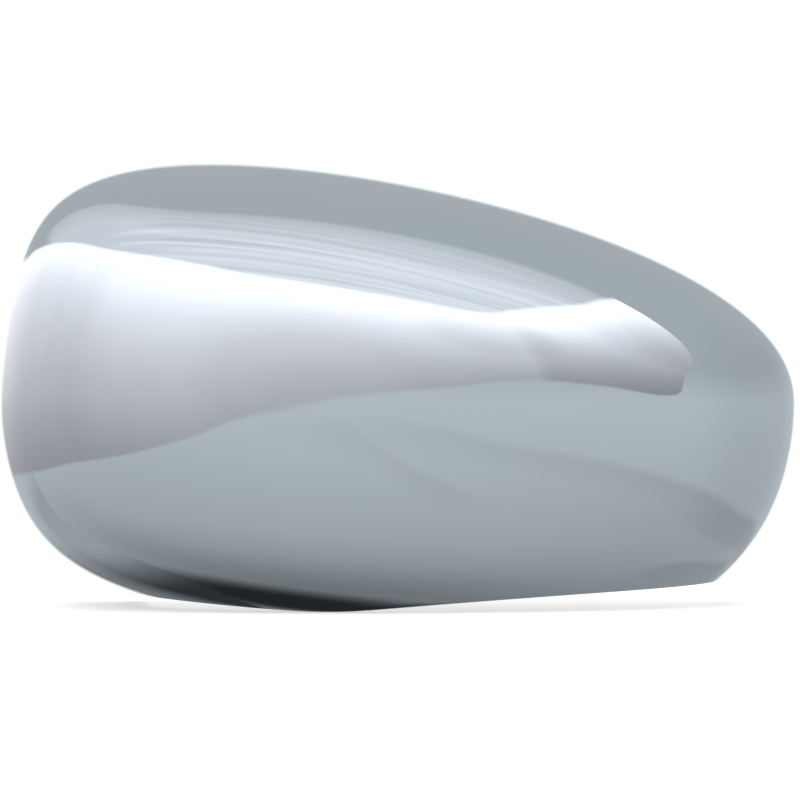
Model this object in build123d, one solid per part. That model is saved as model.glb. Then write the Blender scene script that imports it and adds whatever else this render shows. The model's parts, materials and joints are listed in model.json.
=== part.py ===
from build123d import *
import os
from math import cos, hypot, pi, radians, sin, sqrt

# Wing mirror cover: one thin moulding that clips over the front of a door mirror housing.
# Frame: +Z up, -Y the way the car drives, +X towards the door, in millimetres.
# Y = 0 is the plane of the rear rim, Z = 0 the level of the two end tips, X = 0 halfway between them.

# Outer skin
LENGTH = 239.7           # outer end tip to door end tip
RISE = 73.5              # tip level up to the crown
FALL = 72.0              # tip level down to where the skin would close if it ran on below its lower edge
DEPTH = 76.0             # rear rim forward to the nose
CROWN_LEAN = 54.8        # the crown stands this far towards the outer end
BELLY = 37.4             # each side of the lower half is this much fuller at its foot
SWELL_POWER = 2.25       # how sharply the crown's lean and the belly grow from the tip level
FOOT_LEAN = 30.7         # the foot stands this far towards the door
FOOT_POWER = 7.3         # how sharply the foot's lean grows
NOSE_LEAN = 30.0         # the nose stands this far towards the outer end
FACE_POWER = 2.4         # above 2 the front face is flatter than an ellipse
SIDE_POWER = 3.0         # above 2 the side walls are straighter than an ellipse
WALL = 2.4

# Lower edge, where the cover meets the fixed part of the housing: the points that steer its curve, as X and Z
EDGE_POINTS = ((-95.0, -54.7), (24.4, -64.7), (-60.0, -59.2), (104.0, -52.7))

# Step inside the rear rim that fits round the housing's flange
RIM_STEP = 3.0

# Snap hooks round the rear rim, at these angles round the opening from the door end
HOOK_ANGLES = (8.0, 48.0, 82.0, 122.0, 176.0)
HOOK_WIDTH = 12.0
HOOK_LENGTH = 17.0
HOOK_THICKNESS = 2.0
HOOK_GAP = 3.0           # room behind the arm to flex
HOOK_BARB = 1.6
HOOK_BARB_RUN = 5.0
HOOK_ROOT_RADIUS = 0.9
HOOK_SETBACK = 4.0       # tips lie this far inside the rear rim

# Tongues above the lower edge, at these shares of its length from the outer end
TONGUE_SHARES = (0.3, 0.67)
TONGUE_WIDTH = 14.0
TONGUE_THICKNESS = 2.0
TONGUE_LIFT = 9.0        # above the lower edge
TONGUE_TIP = 48.0        # tips lie this far in front of the rear rim
TONGUE_BARB = 1.4
TONGUE_BARB_RUN = 4.0

# Locating pegs behind the face, at these X and Z places, each on a boss whose shoulder the housing seats on
PEG_PLACES = ((-62.0, 16.0), (44.0, 0.0))
PEG_RADIUS = 3.0
PEG_LENGTH = 10.0
PEG_CHAMFER = 0.8
BOSS_RADIUS = 4.5
BOSS_TOP = 60.0          # shoulders lie this far in front of the rear rim

# Webs that brace the bosses and tongues, thin so that they leave no mark on the face
WEB_THICKNESS = 1.4
WEB_HEIGHT = 10.0        # up the face over each tongue
FIN_REACH = 9.0          # from the boss's axis, at the face

# The skin is drawn through this many points each way
SKIN_POINTS = 25


def skin_at(across, up, inset):
    """Point of the skin from its shares of half length and height: 0, 0 is the nose, radius 1 the rear."""
    spread = min(hypot(across, up), 1.0)
    above = max(up, 0.0)
    below = max(-up, 0.0)
    rise = RISE - inset
    fall = FALL - inset
    half = LENGTH / 2 + BELLY * below**SWELL_POWER - inset
    lean = FOOT_LEAN * below**FOOT_POWER - CROWN_LEAN * above**SWELL_POWER - NOSE_LEAN * (1 - spread**2)
    y = (inset - DEPTH) * (1 - spread**FACE_POWER) ** (1 / SIDE_POWER)
    z = (rise + fall) / 2 * up - (fall - rise) / 2 * up**2
    return Vector(half * across + lean, y, z)


def skin_body(inset):
    """Solid inside the skin, its surface this far in from the outer skin."""
    steps = [2 * i / (SKIN_POINTS - 1) - 1 for i in range(SKIN_POINTS)]
    rows = []
    for v in steps:
        row = []
        for u in steps:
            disc_x = u * sqrt(1 - v * v / 2)
            disc_z = v * sqrt(1 - u * u / 2)
            reach = hypot(disc_x, disc_z)
            widen = sin(reach * pi / 2) / reach if reach else pi / 2
            row.append(skin_at(widen * disc_x, widen * disc_z, inset))
        rows.append(row)
    skin = Face.make_surface_from_array_of_points(rows)
    back = Face(Wire(skin.edges()))
    return Solid(Shell([skin, back]))


def lower_edge():
    return Bezier(*EDGE_POINTS)


def kept_space():
    """Space above the lower edge."""
    far = 2 * LENGTH
    edge = lower_edge()
    outer_end = edge @ 0
    door_end = edge @ 1
    above = Polyline(door_end, (far, door_end.Y), (far, far), (-far, far), (-far, outer_end.Y), outer_end)
    return extrude(Plane.XZ * make_face(edge + above), amount=2 * DEPTH, both=True)


def wall_plane(angle, y):
    """Plane on the inner skin, at an angle round the opening and a depth: X points inward, Y to the rear."""
    spread = (1 - (y / (WALL - DEPTH)) ** SIDE_POWER) ** (1 / FACE_POWER)
    before, here, after = (
        skin_at(spread * cos(radians(a)), spread * sin(radians(a)), WALL) for a in (angle - 1, angle, angle + 1)
    )
    along = after - before
    inward = Vector(-along.Z, 0, along.X).normalized()
    return Plane(here, x_dir=inward, z_dir=inward.cross(Vector(0, 1, 0)))


def snap_hook(angle):
    """Sprung arm on a foot that stands out from the wall, with a barb that faces into the opening."""
    far = HOOK_GAP + HOOK_THICKNESS
    catch = HOOK_LENGTH - HOOK_BARB_RUN
    profile = make_face(
        Polyline(
            (-WALL, 0), (far, 0), (far, catch), (far + HOOK_BARB, catch), (far + HOOK_BARB, catch + HOOK_BARB / 2),
            (far - HOOK_THICKNESS / 4, HOOK_LENGTH), (HOOK_GAP, HOOK_LENGTH), (HOOK_GAP, HOOK_THICKNESS),
            (-WALL, HOOK_THICKNESS), close=True,
        )
    )
    root = profile.vertices().sort_by_distance((HOOK_GAP, HOOK_THICKNESS))[0]
    profile = fillet(root, HOOK_ROOT_RADIUS)
    return extrude(wall_plane(angle, -HOOK_SETBACK - HOOK_LENGTH) * profile, amount=HOOK_WIDTH / 2, both=True)


def tongue(share):
    """Flat tongue that runs rearward from the face, barbed underneath and braced by a web on top."""
    foot = lower_edge() @ share
    plane = Plane((foot.X, 0, foot.Y + TONGUE_LIFT), x_dir=(0, 1, 0), z_dir=(1, 0, 0))
    catch = -TONGUE_TIP - TONGUE_BARB_RUN
    blade = make_face(
        Polyline(
            (-DEPTH, 0), (catch, 0), (catch, -TONGUE_BARB), (-TONGUE_TIP, 0), (-TONGUE_TIP, TONGUE_THICKNESS),
            (-DEPTH, TONGUE_THICKNESS), close=True,
        )
    )
    web = make_face(Polyline((-DEPTH, 0), (catch, 0), (catch, TONGUE_THICKNESS), (-DEPTH, WEB_HEIGHT), close=True))
    return extrude(plane * blade, amount=TONGUE_WIDTH / 2, both=True) + extrude(
        plane * web, amount=WEB_THICKNESS / 2, both=True
    )


def peg(x, z):
    """Round peg that points rearward from a finned boss on the face."""
    half = make_face(
        Polyline(
            (0, -DEPTH), (BOSS_RADIUS, -DEPTH), (BOSS_RADIUS, -BOSS_TOP), (PEG_RADIUS, -BOSS_TOP),
            (PEG_RADIUS, PEG_LENGTH - BOSS_TOP), (0, PEG_LENGTH - BOSS_TOP), close=True,
        )
    )
    pin = Pos(x, 0, z) * revolve(half, Axis.Y)
    pin = chamfer(pin.edges().sort_by(Axis.Y)[-1], PEG_CHAMFER)
    fin = make_face(Polyline((-FIN_REACH, -DEPTH), (FIN_REACH, -DEPTH), (0, -BOSS_TOP), close=True))
    for turn in (0, 90):
        pin += Pos(x, 0, z) * Rot(0, turn, 0) * extrude(fin, amount=WEB_THICKNESS / 2, both=True)
    return pin


def mirror_cover():
    outer = skin_body(0)
    middle = skin_body(WALL / 2)
    inner = skin_body(WALL)
    rim_slab = Box(2 * LENGTH, 2 * RIM_STEP, 2 * LENGTH)
    shell = outer - inner - (middle & rim_slab)
    for angle in HOOK_ANGLES:
        shell += snap_hook(angle) & middle
    for share in TONGUE_SHARES:
        shell += tongue(share) & middle
    for x, z in PEG_PLACES:
        shell += peg(x, z) & middle
    return shell & kept_space()


cover = mirror_cover()
os.makedirs("parts", exist_ok=True)
export_step(cover, "parts/mirror_cover.step")
print(cover.volume, cover.is_valid, len(cover.solids()))
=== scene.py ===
import json
from math import pi, radians, tau

import bmesh
import bpy
import numpy as np
from bpy.props import FloatProperty, FloatVectorProperty, IntProperty, PointerProperty
from mathutils import Matrix, Vector
from mathutils.kdtree import KDTree


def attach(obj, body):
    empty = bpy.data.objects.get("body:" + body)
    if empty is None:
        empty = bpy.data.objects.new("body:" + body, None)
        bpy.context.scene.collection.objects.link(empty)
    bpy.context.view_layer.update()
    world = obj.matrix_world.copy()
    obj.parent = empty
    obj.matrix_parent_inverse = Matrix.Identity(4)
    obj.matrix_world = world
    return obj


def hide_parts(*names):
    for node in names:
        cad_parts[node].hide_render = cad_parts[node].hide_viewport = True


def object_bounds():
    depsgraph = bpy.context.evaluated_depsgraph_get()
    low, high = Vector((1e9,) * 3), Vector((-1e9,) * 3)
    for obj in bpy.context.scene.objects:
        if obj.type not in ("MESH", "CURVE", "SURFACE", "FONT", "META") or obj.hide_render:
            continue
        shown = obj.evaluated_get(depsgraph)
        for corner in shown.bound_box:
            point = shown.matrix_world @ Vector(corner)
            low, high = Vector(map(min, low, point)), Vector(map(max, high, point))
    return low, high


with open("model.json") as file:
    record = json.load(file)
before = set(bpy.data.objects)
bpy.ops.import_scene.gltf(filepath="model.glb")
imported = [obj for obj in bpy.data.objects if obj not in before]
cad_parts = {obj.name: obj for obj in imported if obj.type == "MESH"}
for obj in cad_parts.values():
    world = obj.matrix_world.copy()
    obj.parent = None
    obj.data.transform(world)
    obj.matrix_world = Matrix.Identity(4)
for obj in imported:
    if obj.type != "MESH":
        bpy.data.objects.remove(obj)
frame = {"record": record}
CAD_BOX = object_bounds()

bl_info = {
    "name": "Wing mirror cover",
    "version": (1, 0, 0),
    "blender": (4, 5, 0),
    "location": "View3D > Sidebar > Mirror cover",
    "description": "Builds a chromed wing mirror cover with its fixings, and a studio to show it in",
    "category": "Add Mesh",
}

BODY = "root"
NODE = "mirror_cover"
MM = 0.001
MOUNTS = {mount["name"]: Vector(mount["pos_m"]) for mount in frame["record"]["mounts"]}

# Points tried along the lower edge, and halvings when a place on the dome is looked up
EDGE_SAMPLES = 4001
HALVINGS = 50

# Vertices closer than this are one, and those this near to a cut lie on it
TOUCH = 1e-6
CUT_TOUCH = 1e-7

# Edges that turn more than this are rounded on the small pieces, and shaded as sharp on the shell
ROUNDED_TURN = radians(35)
SHARP_TURN = radians(40)


def length(name, description, millimetres):
    """Length setting, given in millimetres and kept in metres."""
    return FloatProperty(name=name, description=description, default=millimetres * MM, unit="LENGTH")


def place(name, description, x, z):
    """Place setting seen from the front, given in millimetres and kept in metres."""
    return FloatVectorProperty(
        name=name, description=description, default=(x * MM, z * MM), size=2, unit="LENGTH", subtype="XYZ"
    )


def share(name, description, value):
    """Setting that is a plain number."""
    return FloatProperty(name=name, description=description, default=value)


def count(name, description, value, least):
    """Setting that is a whole number."""
    return IntProperty(name=name, description=description, default=value, min=least)


def colour(name, description, value):
    """Colour setting."""
    return FloatVectorProperty(
        name=name, description=description, default=value, subtype="COLOR", min=0, max=1
    )


class CoverSkin(bpy.types.PropertyGroup):
    """Sizes of the domed shell"""

    length: length("Length", "Outer end tip to door end tip", 239.7)
    rise: length("Rise", "Tip level up to the crown", CAD_BOX[1].z / MM)
    fall: length("Fall", "Tip level down to where the skin would close", 72.0)
    depth: length("Depth", "Rear rim forward to the nose", -CAD_BOX[0].y / MM)
    crown_lean: length("Crown lean", "The crown stands this far towards the outer end", 54.8)
    belly: length("Belly", "Each side of the lower half is this much fuller at its foot", 37.4)
    swell_power: share("Swell power", "How sharply the crown's lean and the belly grow", 2.25)
    foot_lean: length("Foot lean", "The foot stands this far towards the door", 30.7)
    foot_power: share("Foot power", "How sharply the foot's lean grows", 7.3)
    nose_lean: length("Nose lean", "The nose stands this far towards the outer end", 30.0)
    face_power: share("Face power", "Above 2 the front face is flatter than an ellipse", 2.4)
    side_power: share("Side power", "Above 2 the side walls are straighter than an ellipse", 3.0)
    wall: length("Wall", "Thickness of the shell", 2.4)
    rim_step: length("Rim step", "Depth of the step inside the rear rim", 3.0)
    step_fade: FloatProperty(
        name="Step fade", description="Turn over which the step runs out at each corner", default=0.1,
        unit="ROTATION",
    )
    edge_outer: place("Lower edge, outer end", "Where the lower edge starts", -95.0, -54.7)
    edge_outer_pull: place("Lower edge, first pull", "Steers the lower edge as it starts", 24.4, -64.7)
    edge_door_pull: place("Lower edge, second pull", "Steers the lower edge as it stops", -60.0, -59.2)
    edge_door: place("Lower edge, door end", "Where the lower edge stops", 104.0, -52.7)
    edge_strip: share("Edge strip", "Width of the faces along the lower edge, nose to rim being 1", 0.012)
    edge_blend: share("Edge blend", "How far in faces follow the lower edge, nose to rim being 1", 0.3)
    edge_radius: length("Edge radius", "Rounding of the rim and lower edge", 0.5)
    columns: count("Columns", "Faces each way in the middle of the face", 120, 8)
    rings: count("Rings", "Rings of faces from there out to the rim", 24, 2)


class CoverHooks(bpy.types.PropertyGroup):
    """Sizes of the snap hooks round the rear rim"""

    angles: FloatVectorProperty(
        name="Angles", description="Places round the opening from the door end", size=5, subtype="EULER",
        default=[radians(a) for a in (8.0, 48.0, 82.0, 122.0, 176.0)], unit="ROTATION",
    )
    width: length("Width", "Along the rim", 12.0)
    reach: length("Length", "Foot to tip", 17.0)
    thickness: length("Thickness", "Of the arm and its foot", 2.0)
    gap: length("Gap", "Room behind the arm to flex", 3.0)
    barb: length("Barb", "Height of the barb", 1.6)
    barb_run: length("Barb run", "Length of the barb", 5.0)
    setback: length("Setback", "Tip to rear rim", 4.0)
    edge_radius: length("Edge radius", "Rounding of the edges", 0.3)


class CoverTongues(bpy.types.PropertyGroup):
    """Sizes of the tongues above the lower edge"""

    width: length("Width", "Across the tongue", 14.0)
    thickness: length("Thickness", "Of the blade", 2.0)
    tip: length("Tip", "Tip to rear rim", 48.0)
    barb: length("Barb", "Height of the barb", 1.4)
    barb_run: length("Barb run", "Length of the barb", 4.0)
    web: length("Web", "Thickness of the web", 1.4)
    web_height: length("Web height", "Up the face", 10.0)
    edge_radius: length("Edge radius", "Rounding of the edges", 0.25)


class CoverPegs(bpy.types.PropertyGroup):
    """Sizes of the locating pegs"""

    radius: length("Radius", "Of the peg", 3.0)
    reach: length("Length", "Shoulder to tip", 10.0)
    chamfer: length("Chamfer", "At the tip", 0.8)
    boss_radius: length("Boss radius", "Of the boss under the shoulder", 4.5)
    boss_top: length("Boss top", "Shoulder to rear rim", 60.0)
    web: length("Fin", "Thickness of the fins", 1.4)
    fin_reach: length("Fin reach", "Axis to fin end at the face", 9.0)
    edge_radius: length("Edge radius", "Rounding of the edges", 0.25)
    steps: count("Steps", "Faces round the peg", 48, 8)


class CoverFinish(bpy.types.PropertyGroup):
    """Colours of the plating"""

    bright: colour("Bright", "Polished chrome", (0.71, 0.80, 0.86))
    cool: colour("Cool", "Slightly bluer chrome", (0.67, 0.78, 0.86))
    satin: colour("Satin", "Plating on the unpolished inside", (0.52, 0.55, 0.57))
    satin_dark: colour("Satin dark", "Thinner plating on the inside", (0.40, 0.42, 0.44))
    polish_best: share("Best polish", "Least roughness of the polished chrome", 0.015)
    polish_worst: share("Worst polish", "Greatest roughness of the polished chrome", 0.03)
    satin_best: share("Best satin", "Least roughness of the inside", 0.30)
    satin_worst: share("Worst satin", "Greatest roughness of the inside", 0.42)


class CoverStudio(bpy.types.PropertyGroup):
    """Colours and sizes of the studio"""

    floor: colour("Floor", "Pale floor", (0.93, 0.93, 0.93))
    floor_glow: share("Floor glow", "Light from the floor itself, which thins the shadow", 0.45)
    floor_half: length("Floor half", "Middle of the floor to its side", 800.0)
    light_size: length("Light size", "Side of the overhead light", 4000.0)
    light_power: share("Light power", "Power of the overhead light in watts", 70.0)
    light_height: length("Light height", "Overhead light above the tip level", 3000.0)
    light_ahead: length("Light ahead", "Overhead light in front of the rear rim", 600.0)
    distance: length("Camera distance", "Camera to the plane of the rear rim", 1000.0)
    height: length("Camera height", "Camera above the tip level", 1.0)
    side: length("Camera side", "Camera towards the door from halfway between the tips", 0.4)
    strength: share("Strength", "Brightness of the room that the chrome reflects", 1.4)
    lens: FloatProperty(name="Lens", description="Focal length in millimetres", default=148.1, min=1)


def skin_row(skin, up, inset):
    """Half length of the skin at a share of the height, and its lean there towards the door."""
    above = np.maximum(up, 0)
    below = np.maximum(-up, 0)
    half = skin.length / 2 + skin.belly * below**skin.swell_power - inset
    lean = skin.foot_lean * below**skin.foot_power - skin.crown_lean * above**skin.swell_power
    return half, lean


def skin_points(skin, across, up, inset):
    """Points of the skin from shares of half length and height: 0, 0 is the nose, radius 1 the rear."""
    spread = np.minimum(np.hypot(across, up), 1)
    rise = skin.rise - inset
    fall = skin.fall - inset
    half, lean = skin_row(skin, up, inset)
    x = half * across + lean - skin.nose_lean * (1 - spread**2)
    y = (inset - skin.depth) * (1 - spread**skin.face_power) ** (1 / skin.side_power)
    z = (rise + fall) / 2 * up - (fall - rise) / 2 * up**2
    return np.stack([x, y, z], axis=-1)


def front_shares(skin, x, z, inset):
    """Shares of the skin's points that are seen from the front at x and z."""
    rise = skin.rise - inset
    fall = skin.fall - inset
    mean = (rise + fall) / 2
    up = 2 * z / (mean + np.sqrt(mean**2 - 2 * (fall - rise) * z))
    half, lean = skin_row(skin, up, inset)
    ahead = x - lean + skin.nose_lean * (1 - up**2)
    across = 2 * ahead / (half + np.sqrt(half**2 + 4 * skin.nose_lean * ahead))
    return across, up


def rim_spread(skin, inset, behind):
    """Spread at which the skin lies this far in front of the rear rim."""
    return (1 - (behind / (skin.depth - inset)) ** skin.side_power) ** (1 / skin.face_power)


def turn_of(skin, spread):
    """Share of the way round from nose to rim, which spaces points evenly over the dome."""
    forward = (1 - np.minimum(spread, 1) ** skin.face_power) ** (1 / skin.side_power)
    return np.arctan2(spread, forward) * 2 / pi


def spread_of(skin, turn):
    """Spread at a share of the way round from nose to rim."""
    low = np.zeros_like(turn)
    high = np.ones_like(turn)
    for _ in range(HALVINGS):
        middle = (low + high) / 2
        short = turn_of(skin, middle) < turn
        low = np.where(short, middle, low)
        high = np.where(short, high, middle)
    return (low + high) / 2


def smooth(amount):
    """Eases an amount from 0 to 1."""
    amount = np.clip(amount, 0, 1)
    return amount * amount * (3 - 2 * amount)


def lower_edge(skin, part):
    """Places on the lower edge as seen from the front, at parts of its curve from the outer end."""
    guides = np.array((skin.edge_outer, skin.edge_outer_pull, skin.edge_door_pull, skin.edge_door))
    left = 1 - part
    return guides.T @ np.array((left**3, 3 * left**2 * part, 3 * left * part**2, part**3))


def edge_places(skin, inset):
    """Places on the disc along the lower edge from rim to rim, as complex numbers."""
    parts = np.linspace(0, 1, EDGE_SAMPLES)
    spread = np.hypot(*front_shares(skin, *lower_edge(skin, parts), inset))
    first, last = np.flatnonzero(spread < 1)[[0, -1]]
    start = np.interp(-1, -spread[first - 1:first + 1], parts[first - 1:first + 1])
    stop = np.interp(1, spread[last:last + 2], parts[last:last + 2])
    parts = start + (stop - start) * (1 - np.cos(parts * pi)) / 2
    across, up = front_shares(skin, *lower_edge(skin, parts), inset)
    turns = turn_of(skin, np.hypot(across, up))
    turns[[0, -1]] = 1
    return turns * np.exp(1j * np.arctan2(up, across))


def nearest(places, others):
    """Index of the nearest other place to each place, and the distance to it."""
    tree = KDTree(len(others))
    for index, other in enumerate(others):
        tree.insert((other.real, other.imag, 0), index)
    tree.balance()
    found = [tree.find((place.real, place.imag, 0)) for place in places]
    return np.array([index for _, index, _ in found]), np.array([gap for _, _, gap in found])


def shell_points(skin, across, up, cut, inset, step):
    """Points of the shell from places on a disc; its border is the rim, and cut ones the lower edge."""
    edge = edge_places(skin, inset)
    outer, door = np.angle(edge_places(skin, 0)[[0, -1]]) % tau
    inset_outer, inset_door = np.angle(edge[[0, -1]]) % tau
    angle = (np.arctan2(up, across) - door) % tau + door
    fade = smooth((angle - door) / skin.step_fade) * smooth((outer + tau - angle) / skin.step_fade)
    rim = turn_of(skin, rim_spread(skin, inset, step * fade))
    ends = (door, outer + tau, door + tau)
    inset_ends = (inset_door, inset_outer + tau, inset_door + tau)
    angle = np.interp(angle, ends, inset_ends)
    places = np.hypot(across, up) * rim * np.exp(1j * angle)
    border = places[cut > 0]
    shift = edge[nearest(border, edge)[0]] - border
    index, gap = nearest(places, border)
    places += shift[index] * (1 - smooth(gap / skin.edge_blend))
    spread = spread_of(skin, np.abs(places))
    angle = np.angle(places)
    return skin_points(skin, spread * np.cos(angle), spread * np.sin(angle), inset)


def wall_frame(skin, angle, y):
    """Matrix on the inner skin at an angle round the opening and a depth: X inward, Y to the rear."""
    spread = rim_spread(skin, skin.wall, -y)
    angles = angle + np.radians([-1, 0, 1])
    before, here, after = skin_points(skin, spread * np.cos(angles), spread * np.sin(angles), skin.wall)
    along = after - before
    inward = Vector((-along[2], 0, along[0])).normalized()
    rear = Vector((0, 1, 0))
    side = inward.cross(rear)
    return Matrix.Translation(Vector(here)) @ Matrix((inward, rear, side)).transposed().to_4x4()


def only(items, kind):
    """Those of the items that are of one kind."""
    return [item for item in items if isinstance(item, kind)]


def open_edges(items):
    """Those of the items that are edges with a face on one side only."""
    return [edge for edge in only(items, bmesh.types.BMEdge) if edge.is_boundary]


def add_slab(bm, outline, thickness, matrix):
    """Adds a slab: an outline in the XY plane drawn out both ways along Z, then moved by the matrix."""
    face = bm.faces.new([bm.verts.new((x, y, -thickness / 2)) for x, y in outline])
    verts = only(bmesh.ops.extrude_face_region(bm, geom=[face])["geom"], bmesh.types.BMVert)
    bmesh.ops.translate(bm, verts=verts, vec=(0, 0, thickness))
    bmesh.ops.transform(bm, matrix=matrix, verts=list(face.verts) + verts)


def meet_face(bm, skin):
    """Moves the vertices at the front onto the middle of the shell's wall."""
    front = [vert for vert in bm.verts if vert.co.y < -skin.depth + TOUCH]
    x, z = np.array([(vert.co.x, vert.co.z) for vert in front]).T
    points = skin_points(skin, *front_shares(skin, x, z, skin.wall / 2), skin.wall / 2)
    for vert, point in zip(front, points):
        vert.co.y = point[1]


def round_edges(bm, radius, segments=2):
    """Rounds every sharp edge."""
    sharp = [edge for edge in bm.edges if edge.is_manifold and edge.calc_face_angle() > ROUNDED_TURN]
    bmesh.ops.bevel(
        bm, geom=sharp, offset=radius, affect="EDGES", segments=segments, profile=0.5, material=-1,
        clamp_overlap=True,
    )


def add_piece(bm, name, materials):
    """Turns the mesh into a shaded piece that rides on the cover's body."""
    bmesh.ops.recalc_face_normals(bm, faces=bm.faces)
    mesh = bpy.data.meshes.new(name)
    for face in bm.faces:
        face.smooth = True
    bm.to_mesh(mesh)
    bm.free()
    for material in materials:
        mesh.materials.append(material)
    piece = bpy.data.objects.new(name, mesh)
    bpy.context.scene.collection.objects.link(piece)
    shading = piece.modifiers.new("Weighted normals", "WEIGHTED_NORMAL")
    shading.weight = 80
    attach(piece, BODY)
    return piece


def add_node(tree, kind, inputs, **settings):
    """Adds a shader node; an input is a value or the socket that feeds it."""
    made = tree.nodes.new(kind)
    for name, value in settings.items():
        setattr(made, name, value)
    for name, value in inputs.items():
        if isinstance(value, bpy.types.NodeSocket):
            tree.links.new(value, made.inputs[name])
        else:
            made.inputs[name].default_value = value
    return made


def grey(value):
    """Grey colour of one brightness."""
    return (value, value, value, 1)


def blend_colour(tree, amount, first, second):
    """Mixes two colours and returns the result."""
    made = add_node(tree, "ShaderNodeMix", {"Factor": amount}, data_type="RGBA")
    for name, value in (("A", first), ("B", second)):
        socket = [item for item in made.inputs if item.name == name and item.type == "RGBA"][0]
        if isinstance(value, bpy.types.NodeSocket):
            tree.links.new(value, socket)
        else:
            socket.default_value = value
    return [item for item in made.outputs if item.type == "RGBA"][0]


def set_ramp(node, stops, tint=(1, 1, 1)):
    """Sets a colour ramp's stops, given as place and grey, which the tint colours."""
    elements = node.color_ramp.elements
    while len(elements) < len(stops):
        elements.new(0.5)
    for element, (position, value) in zip(elements, stops):
        element.position = position
        element.color = (*(value * part for part in tint), 1)


def set_curve(node, points):
    """Sets a float curve's points."""
    curve = node.mapping.curves[0]
    while len(curve.points) < len(points):
        curve.points.new(0.5, 0.5)
    for point, (x, y) in zip(curve.points, points):
        point.location = (x, y)
    node.mapping.update()


def new_material(name):
    """Adds a material and returns it with its tree, shader and object coordinates."""
    material = bpy.data.materials.get(name) or bpy.data.materials.new(name)
    material.use_nodes = True
    tree = material.node_tree
    tree.nodes.clear()
    shader = add_node(tree, "ShaderNodeBsdfPrincipled", {})
    output = add_node(tree, "ShaderNodeOutputMaterial", {"Surface": shader.outputs["BSDF"]})
    output.target = "ALL"
    coordinates = add_node(tree, "ShaderNodeTexCoord", {}).outputs["Object"]
    return material, tree, shader, coordinates


def add_noise(tree, coordinates, scale, detail):
    """Adds a noise texture and returns its value."""
    inputs = {"Vector": coordinates, "Scale": scale, "Detail": detail}
    return add_node(tree, "ShaderNodeTexNoise", inputs).outputs["Fac"]


def set_metal(tree, shader, tint, rough, bump):
    """Joins a metal's tint, roughness and bumps to its shader."""
    tree.links.new(tint, shader.inputs["Base Color"])
    tree.links.new(rough.outputs["Result"], shader.inputs["Roughness"])
    tree.links.new(bump.outputs["Normal"], shader.inputs["Normal"])
    shader.inputs["Metallic"].default_value = 1


def chrome(finish):
    """Polished chrome plating, with the slight waves of a moulded surface under it."""
    material, tree, shader, coordinates = new_material("chrome_polished")
    clouds = add_noise(tree, coordinates, scale=18.0, detail=2.0)
    haze = add_noise(tree, coordinates, scale=60.0, detail=4.0)
    waves = add_noise(tree, coordinates, scale=26.0, detail=1.0)
    tint = blend_colour(tree, clouds, (*finish.bright, 1), (*finish.cool, 1))
    polish = {"Value": haze, "To Min": finish.polish_best, "To Max": finish.polish_worst}
    rough = add_node(tree, "ShaderNodeMapRange", polish)
    bump = add_node(tree, "ShaderNodeBump", {"Height": waves, "Strength": 0.03, "Distance": 2 * MM})
    set_metal(tree, shader, tint, rough, bump)
    return material


def satin(finish):
    """Plating on the unpolished inside, thinner in patches and with the mould's fine grain."""
    material, tree, shader, coordinates = new_material("chrome_satin")
    clouds = add_noise(tree, coordinates, scale=30.0, detail=5.0)
    grain = add_noise(tree, coordinates, scale=1500.0, detail=2.0)
    tint = blend_colour(tree, clouds, (*finish.satin_dark, 1), (*finish.satin, 1))
    polish = {"Value": clouds, "To Min": finish.satin_best, "To Max": finish.satin_worst}
    rough = add_node(tree, "ShaderNodeMapRange", polish)
    bump = add_node(tree, "ShaderNodeBump", {"Height": grain, "Strength": 0.12, "Distance": 0.2 * MM})
    set_metal(tree, shader, tint, rough, bump)
    return material


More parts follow.
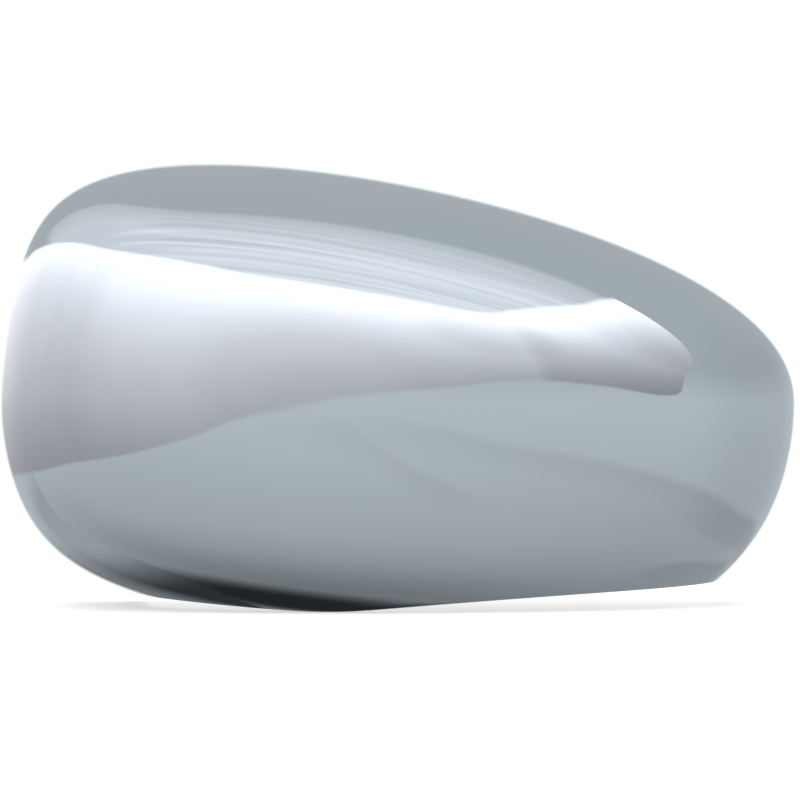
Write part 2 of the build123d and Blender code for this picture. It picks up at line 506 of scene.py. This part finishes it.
class COVER_OT_shell(bpy.types.Operator):
    """Build the domed shell with its rim, rim step and lower edge"""

    bl_idname = "cover.shell"
    bl_label = "Shell"

    def execute(self, context):
        skin = context.scene.cover_skin
        finish = context.scene.cover_finish
        bm = bmesh.new()
        shares = bm.verts.layers.float_vector.new("shares")
        self.add_disc(bm, skin)
        self.cut_lower_edge(bm, skin)
        self.add_border(bm, skin, shares)
        outside = list(bm.faces)
        rim = open_edges(bm.edges)
        inside = bmesh.ops.duplicate(bm, geom=outside)["geom"]
        self.settle(bm.verts, skin, shares, 0, 0)
        self.settle(inside, skin, shares, skin.wall, skin.rim_step)
        half = skin.wall / 2
        border = rim
        for inset, step in ((half, 0), (half, skin.rim_step), (skin.wall, skin.rim_step)):
            drawn = bmesh.ops.extrude_edge_only(bm, edges=border)["geom"]
            self.settle(drawn, skin, shares, inset, step)
            border = open_edges(drawn)
            if step:
                inside += drawn
        for face in only(inside, bmesh.types.BMFace):
            face.material_index = 1
        bmesh.ops.bevel(
            bm, geom=rim, offset=skin.edge_radius, affect="EDGES", segments=3, profile=0.5, material=-1
        )
        bmesh.ops.remove_doubles(bm, verts=bm.verts, dist=TOUCH)
        bmesh.ops.recalc_face_normals(bm, faces=bm.faces)
        for edge in bm.edges:
            edge.smooth = edge.calc_face_angle() < SHARP_TURN
        piece = add_piece(bm, "cover_shell", [chrome(finish), satin(finish)])
        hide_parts(NODE)
        return {"FINISHED"}

    def add_disc(self, bm, skin):
        """Adds a flat disc: a grid with rounded corners, then rings that grow rounder, but not the last."""
        round_part = 0.48
        square_part = 0.24
        columns = skin.columns
        grid = bmesh.ops.create_grid(bm, x_segments=columns, y_segments=columns, size=1)["verts"]
        for vert in grid:
            u, v, _ = vert.co
            circle = Vector((u * (1 - v * v / 2) ** 0.5, v * (1 - u * u / 2) ** 0.5, 0))
            vert.co = round_part * circle + square_part * vert.co
        border = open_edges(bm.edges)
        for left in range(skin.rings, 1, -1):
            drawn = bmesh.ops.extrude_edge_only(bm, edges=border)["geom"]
            for vert in only(drawn, bmesh.types.BMVert):
                vert.co *= 1 + (1 / vert.co.length - 1) / left
            border = open_edges(drawn)

    def cut_lower_edge(self, bm, skin):
        """Cuts away the disc below the lower edge and a strip along it; the cut is left at level 0."""
        verts = list(bm.verts)
        places = np.array([complex(*vert.co.xy) for vert in verts])
        edge = edge_places(skin, 0)
        index, gap = nearest(places, edge)
        side = (np.conj(np.gradient(edge)[index]) * (places - edge[index])).imag
        for vert, amount in zip(verts, np.copysign(gap, side) - skin.edge_strip):
            vert.co.z = amount
        parts = [*bm.verts, *bm.edges, *bm.faces]
        bmesh.ops.bisect_plane(
            bm, geom=parts, dist=CUT_TOUCH, plane_co=(0, 0, 0), plane_no=(0, 0, 1), clear_inner=True
        )
        cut = [vert for vert in bm.verts if vert.is_boundary and abs(vert.co.z) < TOUCH]
        bmesh.ops.remove_doubles(bm, verts=cut, dist=skin.edge_strip / 4)

    def add_border(self, bm, skin, shares):
        """Adds the last ring, out to the rim and lower edge, and notes each vertex's place on the disc."""
        drawn = bmesh.ops.extrude_edge_only(bm, edges=open_edges(bm.edges))["geom"]
        verts = only(drawn, bmesh.types.BMVert)
        places = np.array([complex(*vert.co.xy) for vert in verts])
        rim = {vert for vert in verts if vert.co.z > TOUCH}
        rim_edges = {edge for vert in rim for edge in vert.link_edges if edge.is_boundary}
        corners = {vert for edge in rim_edges for vert in edge.verts} - rim
        edge = edge_places(skin, 0)
        ends = edge[[0, -1]]
        on_rim = places / np.abs(places)
        on_edge = edge[nearest(places, edge)[0]]
        on_end = ends[nearest(places, ends)[0]]
        for vert, *choices in zip(verts, on_rim, on_edge, on_end):
            chosen = choices[0 if vert in rim else 2 if vert in corners else 1]
            vert.co.xy = (chosen.real, chosen.imag)
        low = set(verts) - rim
        for vert in bm.verts:
            vert[shares] = (vert.co.x, vert.co.y, vert in low)

    def settle(self, items, skin, shares, inset, step):
        """Moves vertices from the disc onto the shell, this far inside the outer skin."""
        verts = only(items, bmesh.types.BMVert)
        across, up, cut = np.array([vert[shares] for vert in verts]).T
        for vert, point in zip(verts, shell_points(skin, across, up, cut, inset, step)):
            vert.co = point


class COVER_OT_hooks(bpy.types.Operator):
    """Build the snap hooks round the rear rim"""

    bl_idname = "cover.hooks"
    bl_label = "Snap hooks"

    def execute(self, context):
        skin = context.scene.cover_skin
        hook = context.scene.cover_hooks
        far = hook.gap + hook.thickness
        catch = hook.reach - hook.barb_run
        outline = (
            (-skin.wall / 2, 0), (far, 0), (far, catch), (far + hook.barb, catch),
            (far + hook.barb, catch + hook.barb / 2), (far - hook.thickness / 4, hook.reach),
            (hook.gap, hook.reach), (hook.gap, hook.thickness), (-skin.wall / 2, hook.thickness),
        )
        plating = satin(context.scene.cover_finish)
        names = [name for name in MOUNTS if name.startswith("hook")]
        for name, angle in zip(names, hook.angles):
            bm = bmesh.new()
            add_slab(bm, outline, hook.width, wall_frame(skin, angle, -hook.setback - hook.reach))
            bmesh.ops.recalc_face_normals(bm, faces=bm.faces)
            round_edges(bm, hook.edge_radius)
            add_piece(bm, name, [plating])
        return {"FINISHED"}


class COVER_OT_tongues(bpy.types.Operator):
    """Build the barbed tongues and their webs above the lower edge"""

    bl_idname = "cover.tongues"
    bl_label = "Tongues"

    def execute(self, context):
        skin = context.scene.cover_skin
        tongue = context.scene.cover_tongues
        catch = -tongue.tip - tongue.barb_run
        blade = (
            (-skin.depth, 0), (catch, 0), (catch, -tongue.barb), (-tongue.tip, 0),
            (-tongue.tip, tongue.thickness), (-skin.depth, tongue.thickness),
        )
        web = ((-skin.depth, 0), (catch, 0), (catch, tongue.thickness), (-skin.depth, tongue.web_height))
        upright = Matrix(((0, 0, 1, 0), (1, 0, 0, 0), (0, 1, 0, 0), (0, 0, 0, 1)))
        plating = satin(context.scene.cover_finish)
        for name in [name for name in MOUNTS if name.startswith("tongue")]:
            bm = bmesh.new()
            matrix = Matrix.Translation((MOUNTS[name].x, 0, MOUNTS[name].z)) @ upright
            add_slab(bm, blade, tongue.width, matrix)
            add_slab(bm, web, tongue.web, matrix)
            meet_face(bm, skin)
            bmesh.ops.recalc_face_normals(bm, faces=bm.faces)
            round_edges(bm, tongue.edge_radius)
            add_piece(bm, name, [plating])
        return {"FINISHED"}


class COVER_OT_pegs(bpy.types.Operator):
    """Build the locating pegs on their finned bosses"""

    bl_idname = "cover.pegs"
    bl_label = "Locating pegs"

    def execute(self, context):
        skin = context.scene.cover_skin
        peg = context.scene.cover_pegs
        top = -peg.boss_top
        tip = top + peg.reach
        profile = (
            (0, -skin.depth), (peg.boss_radius, -skin.depth), (peg.boss_radius, top), (peg.radius, top),
            (peg.radius, tip - peg.chamfer), (peg.radius - peg.chamfer, tip), (0, tip),
        )
        fin = ((-peg.fin_reach, -skin.depth), (peg.fin_reach, -skin.depth), (0, top))
        plating = satin(context.scene.cover_finish)
        for name in [name for name in MOUNTS if name.startswith("peg")]:
            bm = bmesh.new()
            verts = [bm.verts.new((x, y, 0)) for x, y in profile]
            edges = [bm.edges.new(pair) for pair in zip(verts, verts[1:])]
            bmesh.ops.spin(
                bm, geom=verts + edges, cent=(0, 0, 0), axis=(0, 1, 0), angle=tau, steps=peg.steps,
                use_merge=True,
            )
            bmesh.ops.remove_doubles(bm, verts=bm.verts, dist=TOUCH)
            for turn in (0, pi / 2):
                add_slab(bm, fin, peg.web, Matrix.Rotation(turn, 4, "Y"))
            bmesh.ops.translate(bm, verts=bm.verts, vec=(MOUNTS[name].x, 0, MOUNTS[name].z))
            meet_face(bm, skin)
            bmesh.ops.recalc_face_normals(bm, faces=bm.faces)
            round_edges(bm, peg.edge_radius)
            add_piece(bm, name, [plating])
        return {"FINISHED"}


class StudioSky:
    """Studio that the chrome reflects, drawn by direction: degrees round from the camera and up."""

    def __init__(self, tree):
        """Takes a direction apart: across, ahead and overhead, and its turn and level from 0 to 1."""
        self.tree = tree
        self.direction = add_node(tree, "ShaderNodeTexCoord", {}).outputs["Generated"]
        parts = add_node(tree, "ShaderNodeSeparateXYZ", {"Vector": self.direction}).outputs
        self.across = parts["X"]
        self.ahead = self.calculate("MULTIPLY", parts["Y"], -1.0)
        self.overhead = parts["Z"]
        around = self.calculate("ARCTAN2", self.across, self.ahead)
        self.around = self.calculate("MULTIPLY_ADD", around, 1 / tau, 0.5)
        level = self.calculate("ARCSINE", self.overhead)
        self.level = self.calculate("MULTIPLY_ADD", level, 1 / pi, 0.5)

    def calculate(self, operation, *values, clamp=False):
        """Adds a maths node and returns its result."""
        inputs = dict(enumerate(values))
        made = add_node(self.tree, "ShaderNodeMath", inputs, operation=operation, use_clamp=clamp)
        return made.outputs["Value"]

    def blend(self, amount, first, second):
        """Mixes two colours and returns the result."""
        return blend_colour(self.tree, amount, first, second)

    def edge(self, points):
        """Level of an edge round the studio, its points given as degrees round and degrees up."""
        curve = add_node(self.tree, "ShaderNodeFloatCurve", {"Value": self.around})
        set_curve(curve, [((turn + 180) / 360, (up + 90) / 180) for turn, up in points])
        return curve.outputs["Value"]

    def line(self, points):
        """Line overhead or underfoot, its points given as shares across and ahead."""
        across = self.calculate("MULTIPLY_ADD", self.across, 0.5, 0.5)
        curve = add_node(self.tree, "ShaderNodeFloatCurve", {"Value": across})
        set_curve(curve, [((x + 1) / 2, (y + 1) / 2) for x, y in points])
        return self.calculate("MULTIPLY_ADD", curve.outputs["Value"], 2.0, -1.0)

    def past(self, value, limit, sharpness):
        """1 where a value is past a limit and 0 short of it, with a soft step between."""
        gap = self.calculate("SUBTRACT", value, limit)
        return self.calculate("MULTIPLY_ADD", gap, sharpness, 0.5, clamp=True)

    def fade(self, value, start, end, low, high, kind="LINEAR"):
        """Goes from low to high as a value goes from start to end."""
        inputs = {"Value": value, "From Min": start, "From Max": end, "To Min": low, "To Max": high}
        return add_node(self.tree, "ShaderNodeMapRange", inputs, interpolation_type=kind).outputs["Result"]

    def spot(self, turn, up, start, end):
        """Round patch in a direction, 0 outside the start angle and 1 inside the end angle."""
        turn, up, start, end = np.radians([turn, up, start, end])
        towards = (np.sin(turn) * np.cos(up), -np.cos(turn) * np.cos(up), np.sin(up))
        pair = {0: self.direction, 1: towards}
        near = add_node(self.tree, "ShaderNodeVectorMath", pair, operation="DOT_PRODUCT").outputs["Value"]
        return self.fade(near, np.cos(start), np.cos(end), low=0.0, high=1.0, kind="SMOOTHSTEP")

    def streaks(self, along, over, low, high):
        """Soft streaks, from how many of them have been passed along and across them."""
        where = add_node(self.tree, "ShaderNodeCombineXYZ", {"X": along, "Y": over}).outputs["Vector"]
        noise = add_noise(self.tree, where, scale=1.0, detail=3.0)
        return self.fade(noise, start=0.25, end=0.75, low=low, high=high)

    def fold(self, points, reach):
        """Shade under a fold in the backdrop, gone at so many degrees below it."""
        top = self.edge(points)
        below = self.calculate("SUBTRACT", top, self.level)
        thinning = self.fade(below, start=0.0, end=reach / 180, low=1.0, high=0.0)
        return self.calculate("MULTIPLY", self.past(top, self.level, sharpness=70.0), thinning)

    def room(self):
        """Colour of the whole studio."""
        room = self.backdrop()
        room = self.add_folds(room)
        room = self.add_dark_places(room)
        room = self.add_floor_shade(room)
        room = self.add_glow(room)
        room = self.add_soft_box(room)
        return self.add_back_light(room)

    def backdrop(self):
        """Grey all round, darker towards the floor."""
        ramp = add_node(self.tree, "ShaderNodeValToRGB", {"Fac": self.level})
        set_ramp(ramp, [
            (0.04, 0.16), (0.1, 0.2), (0.17, 0.27), (0.25, 0.33), (0.39, 0.385), (0.5, 0.44), (0.6, 0.355),
            (0.8, 0.36),
        ])
        return ramp.outputs["Color"]

    def add_folds(self, room):
        """Room with shade under the folds of its backdrop, each with its reach, place and strength."""
        darkest = grey(0.16)
        crease = [
            (-180, -2), (0, -2), (12, -6), (17, -9), (24, -12), (34, -15), (46, -19), (66, -24), (103, -28),
            (133, -22), (180, -10),
        ]
        drape = [(-180, -2), (0, -2), (4, -7), (8, -14), (14, -22), (21, -30), (27, -35), (180, -50)]
        skirt = [(-180, -60), (60, -60), (92, -50), (113, -43), (126, -38), (143, -28), (180, -14)]
        hem = self.edge([(-180, -70), (60, -34), (73, -37), (89, -39), (112, -37), (144, -25), (180, -10)])
        above_hem = self.past(self.level, hem, sharpness=70.0)
        pocket = self.calculate("MULTIPLY", self.spot(110, -30, start=50, end=15), above_hem)
        for points, reach, where, strength in (
            (crease, 8, self.spot(35, -15, start=40, end=15), 0.16),
            (crease, 40, pocket, 0.25),
            (crease, 75, self.spot(115, -30, start=95, end=20), 0.22),
            (drape, 9, self.spot(9, -16, start=20, end=6), 0.12),
            (skirt, 60, self.spot(125, -42, start=40, end=12), 0.42),
        ):
            shade = self.calculate("MULTIPLY", self.fold(points, reach), where)
            room = self.blend(self.calculate("MULTIPLY", shade, strength), room, darkest)
        return room

    def add_dark_places(self, room):
        """Room with dark places beside and behind the cover, each with its strength and grey; the last is
        painted shade.
        """
        for where, strength, value in (
            (self.spot(100, 0, start=50, end=10), 0.22, 0.2),
            (self.spot(-112, -58, start=40, end=8), 0.14, 0.08),
            # Painted shade: the nearly black floor just under the cover, where its shadow falls
            (self.spot(-160, -69, start=22, end=5), 1.0, 0.015),
        ):
            room = self.blend(self.calculate("MULTIPLY", where, strength), room, grey(value))
        return room

    def add_floor_shade(self, room):
        """Room with deep shade underfoot, behind a curved line."""
        floor_start = -0.36
        front = self.line([
            (-1, -0.35), (-0.78, -0.32), (-0.65, -0.21), (-0.48, -0.14), (-0.38, -0.185), (-0.286, -0.266),
            (-0.2, -0.47), (0, -0.8), (1, -0.9),
        ])
        behind = self.past(front, self.ahead, sharpness=22.0)
        underfoot = self.past(floor_start, self.overhead, sharpness=7.0)
        near = self.fade(self.across, start=-0.6, end=-0.25, low=0.29, high=0.025, kind="SMOOTHSTEP")
        far = self.fade(self.ahead, start=-0.6, end=-0.8, low=0.0, high=0.12)
        shade = self.calculate("ADD", near, far)
        return self.blend(self.calculate("MULTIPLY", behind, underfoot), room, shade)

    def add_glow(self, room):
        """Room with a streaky glow overhead, in front of a curved line."""
        dull = (0.45, 0.44, 0.44, 1)
        bright = (0.73, 0.7, 0.7, 1)
        lowest = 0.66
        slant = -0.42
        closeness = 13.0
        back = self.line([
            (-1, -0.9), (-0.66, -0.56), (-0.475, -0.32), (-0.32, -0.03), (-0.17, 0.12), (-0.05, 0.15),
            (0.1, 0.16), (0.2, 0.165), (0.27, 0.17), (0.35, 0.18), (0.44, 0.212), (0.53, 0.26),
            (0.65, 0.332), (0.8, 0.464), (1, 0.65),
        ])
        inward = self.calculate("SUBTRACT", self.ahead, back)
        glow = self.fade(inward, start=0.0, end=0.4, low=0.1, high=1.0)
        height = self.calculate("MAXIMUM", self.overhead, 0.1)
        beside = self.calculate("DIVIDE", self.across, height)
        onward = self.calculate("DIVIDE", self.ahead, height)
        onward = self.calculate("MULTIPLY_ADD", beside, slant, onward)
        onward = self.calculate("MULTIPLY", onward, closeness)
        streaky = self.streaks(beside, onward, low=0.2, high=1.4)
        shine = self.blend(self.spot(20, 50, start=60, end=20), grey(0.42), streaky)
        glow = self.calculate("MULTIPLY", glow, shine, clamp=True)
        in_front = self.past(self.ahead, back, sharpness=16.0)
        high_up = self.past(self.level, lowest, sharpness=30.0)
        where = self.calculate("MULTIPLY", in_front, high_up)
        return self.blend(where, room, self.blend(glow, dull, bright))

    def add_soft_box(self, room):
        """Room with a tall soft box in front, brightest at its top."""
        tint = (1.01, 0.94, 0.945)
        least_height = 0.02
        foot_stop = 0.2
        top = self.edge([
            (-180, 0), (-145, 13), (-134, 20), (-103, 38), (-87, 44), (-65, 47.5), (-37, 48), (-19, 45),
            (-8, 41), (7, 37), (15, 35), (22, 34), (28, 37.5), (36, 42), (47, 46.5), (63, 52), (180, 54),
        ])
        low_points = [
            (-180, 0), (-145, -10), (-117, -18), (-92, -22.5), (-67, -23), (-40, -20), (-20, -12.5),
            (-1, 0), (13, 4.5), (23, 8), (33, 7), (50, 4),
        ]
        foot = self.edge([*low_points, (54, 13), (62, 25), (68, 52.5), (80, 80), (180, 85)])
        base = self.edge([*low_points, (180, 0)])
        height = self.calculate("MAXIMUM", self.calculate("SUBTRACT", top, base), least_height)
        part = self.calculate("DIVIDE", self.calculate("SUBTRACT", self.level, base), height)
        part = self.calculate("MULTIPLY_ADD", self.uneven_part(part), 1 - foot_stop, foot_stop)
        ramp = add_node(self.tree, "ShaderNodeValToRGB", {"Fac": part})
        set_ramp(ramp, [
            (0, 0.24), (0.2, 0.31), (0.34, 0.385), (0.49, 0.48), (0.63, 0.61), (0.76, 0.77), (0.87, 0.95),
            (0.95, 1.05),
        ], tint)
        under = self.past(top, self.level, sharpness=120.0)
        over = self.past(self.level, foot, sharpness=160.0)
        return self.blend(self.calculate("MULTIPLY", under, over), room, ramp.outputs["Color"])

    def uneven_part(self, part):
        """Part of the way up the soft box, made uneven by patches, upright streaks and its side wall."""
        streaks_round = 14.0
        streaks_up = 2.0
        wall_start = 0.569
        for where, amount in (
            (self.spot(-75, -22, start=70, end=15), -0.12),
            (self.spot(21, 24, start=10, end=3), -0.1),
            (self.spot(58, 34, start=20, end=5), -0.12),
            (self.spot(-1, 6, start=10, end=3), 0.05),
        ):
            part = self.calculate("MULTIPLY_ADD", where, amount, part)
        part = self.calculate("ADD", part, self.fade(self.around, start=0.34, end=0.52, low=0.0, high=0.16))
        beside = self.calculate("MULTIPLY", self.around, streaks_round)
        upward = self.calculate("MULTIPLY", self.level, streaks_up)
        part = self.calculate("ADD", part, self.streaks(beside, upward, low=-0.03, high=0.03))
        wall = self.fade(self.around, start=wall_start, end=0.653, low=0.25, high=0.52)
        wall = self.calculate("MULTIPLY", wall, self.past(self.around, wall_start, sharpness=150.0))
        wall = self.calculate("MULTIPLY", wall, self.calculate("SUBTRACT", 1.0, part, clamp=True))
        return self.calculate("SUBTRACT", part, wall)

    def add_back_light(self, room):
        """Room with a round light behind the cover, which lights its inside."""
        return self.blend(self.spot(180, 2, start=34, end=22), room, grey(0.95))


class COVER_OT_stage(bpy.types.Operator):
    """Set up the floor, the studio's light and the camera"""

    bl_idname = "cover.stage"
    bl_label = "Studio"

    def execute(self, context):
        scene = context.scene
        studio = scene.cover_studio
        scene.view_settings.view_transform = "Standard"
        self.add_floor(scene, studio)
        self.add_light(scene, studio)
        self.set_world(scene, studio)
        self.add_camera(scene, studio)
        return {"FINISHED"}

    def add_floor(self, scene, studio):
        """Pale floor at the cover's lowest point, which the chrome doesn't reflect; its glow is painted
        light.
        """
        material, tree, shader, coordinates = new_material("studio_floor")
        paper = add_noise(tree, coordinates, scale=3.0, detail=2.0)
        pale = (*studio.floor, 1)
        tint = blend_colour(tree, paper, pale, [0.99 * part for part in pale])
        tree.links.new(tint, shader.inputs["Base Color"])
        shader.inputs["Roughness"].default_value = 0.9
        # Painted light: the floor glows in its own colour, which thins the cover's shadow on it
        shader.inputs["Emission Color"].default_value = pale
        shader.inputs["Emission Strength"].default_value = studio.floor_glow
        bm = bmesh.new()
        bmesh.ops.create_grid(bm, x_segments=1, y_segments=1, size=studio.floor_half)
        bmesh.ops.translate(bm, verts=bm.verts, vec=(0, 0, CAD_BOX[0].z))
        mesh = bpy.data.meshes.new("studio_floor")
        bm.to_mesh(mesh)
        bm.free()
        mesh.materials.append(material)
        floor = bpy.data.objects.new("studio_floor", mesh)
        floor.visible_glossy = False
        scene.collection.objects.link(floor)

    def add_light(self, scene, studio):
        """Wide light overhead, which the chrome doesn't reflect."""
        light = bpy.data.lights.new("studio_overhead", "AREA")
        light.size = studio.light_size
        light.energy = studio.light_power
        overhead = bpy.data.objects.new("studio_overhead", light)
        overhead.location = (0, -studio.light_ahead, studio.light_height)
        overhead.visible_glossy = False
        overhead.visible_camera = False
        scene.collection.objects.link(overhead)

    def set_world(self, scene, studio):
        """Draws the studio round the cover; the camera itself sees plain white."""
        world = bpy.data.worlds.new("studio")
        scene.world = world
        world.use_nodes = True
        tree = world.node_tree
        tree.nodes.clear()
        room = StudioSky(tree).room()
        seen = add_node(tree, "ShaderNodeLightPath", {}).outputs["Is Camera Ray"]
        shown = blend_colour(tree, seen, room, grey(1 / studio.strength))
        light = add_node(tree, "ShaderNodeBackground", {"Color": shown, "Strength": studio.strength})
        add_node(tree, "ShaderNodeOutputWorld", {"Surface": light.outputs["Background"]})

    def add_camera(self, scene, studio):
        """Camera that looks straight at the cover's front."""
        data = bpy.data.cameras.new("studio_camera")
        data.lens = studio.lens
        camera = bpy.data.objects.new("studio_camera", data)
        camera.location = (studio.side, -studio.distance, studio.height)
        camera.rotation_euler = (pi / 2, 0, 0)
        scene.collection.objects.link(camera)
        scene.camera = camera


OPERATORS = (COVER_OT_shell, COVER_OT_hooks, COVER_OT_tongues, COVER_OT_pegs, COVER_OT_stage)
SETTINGS = {
    "cover_skin": CoverSkin,
    "cover_hooks": CoverHooks,
    "cover_tongues": CoverTongues,
    "cover_pegs": CoverPegs,
    "cover_finish": CoverFinish,
    "cover_studio": CoverStudio,
}


class COVER_PT_sidebar(bpy.types.Panel):
    """Buttons that build the cover"""

    bl_idname = "COVER_PT_sidebar"
    bl_label = "Mirror cover"
    bl_space_type = "VIEW_3D"
    bl_region_type = "UI"
    bl_category = "Mirror cover"

    def draw(self, context):
        for operator in OPERATORS:
            self.layout.operator(operator.bl_idname)


def register():
    """Adds the settings, operators and panel."""
    for kind in (*SETTINGS.values(), *OPERATORS, COVER_PT_sidebar):
        bpy.utils.register_class(kind)
    for name, kind in SETTINGS.items():
        setattr(bpy.types.Scene, name, PointerProperty(type=kind))


def unregister():
    """Takes away what register added."""
    for name in SETTINGS:
        delattr(bpy.types.Scene, name)
    for kind in (COVER_PT_sidebar, *reversed(OPERATORS), *reversed(SETTINGS.values())):
        bpy.utils.unregister_class(kind)


def main():
    """Builds the cover and its studio."""
    register()
    bpy.ops.cover.shell()
    bpy.ops.cover.hooks()
    bpy.ops.cover.tongues()
    bpy.ops.cover.pegs()
    bpy.ops.cover.stage()


if __name__ == "__main__":
    main()
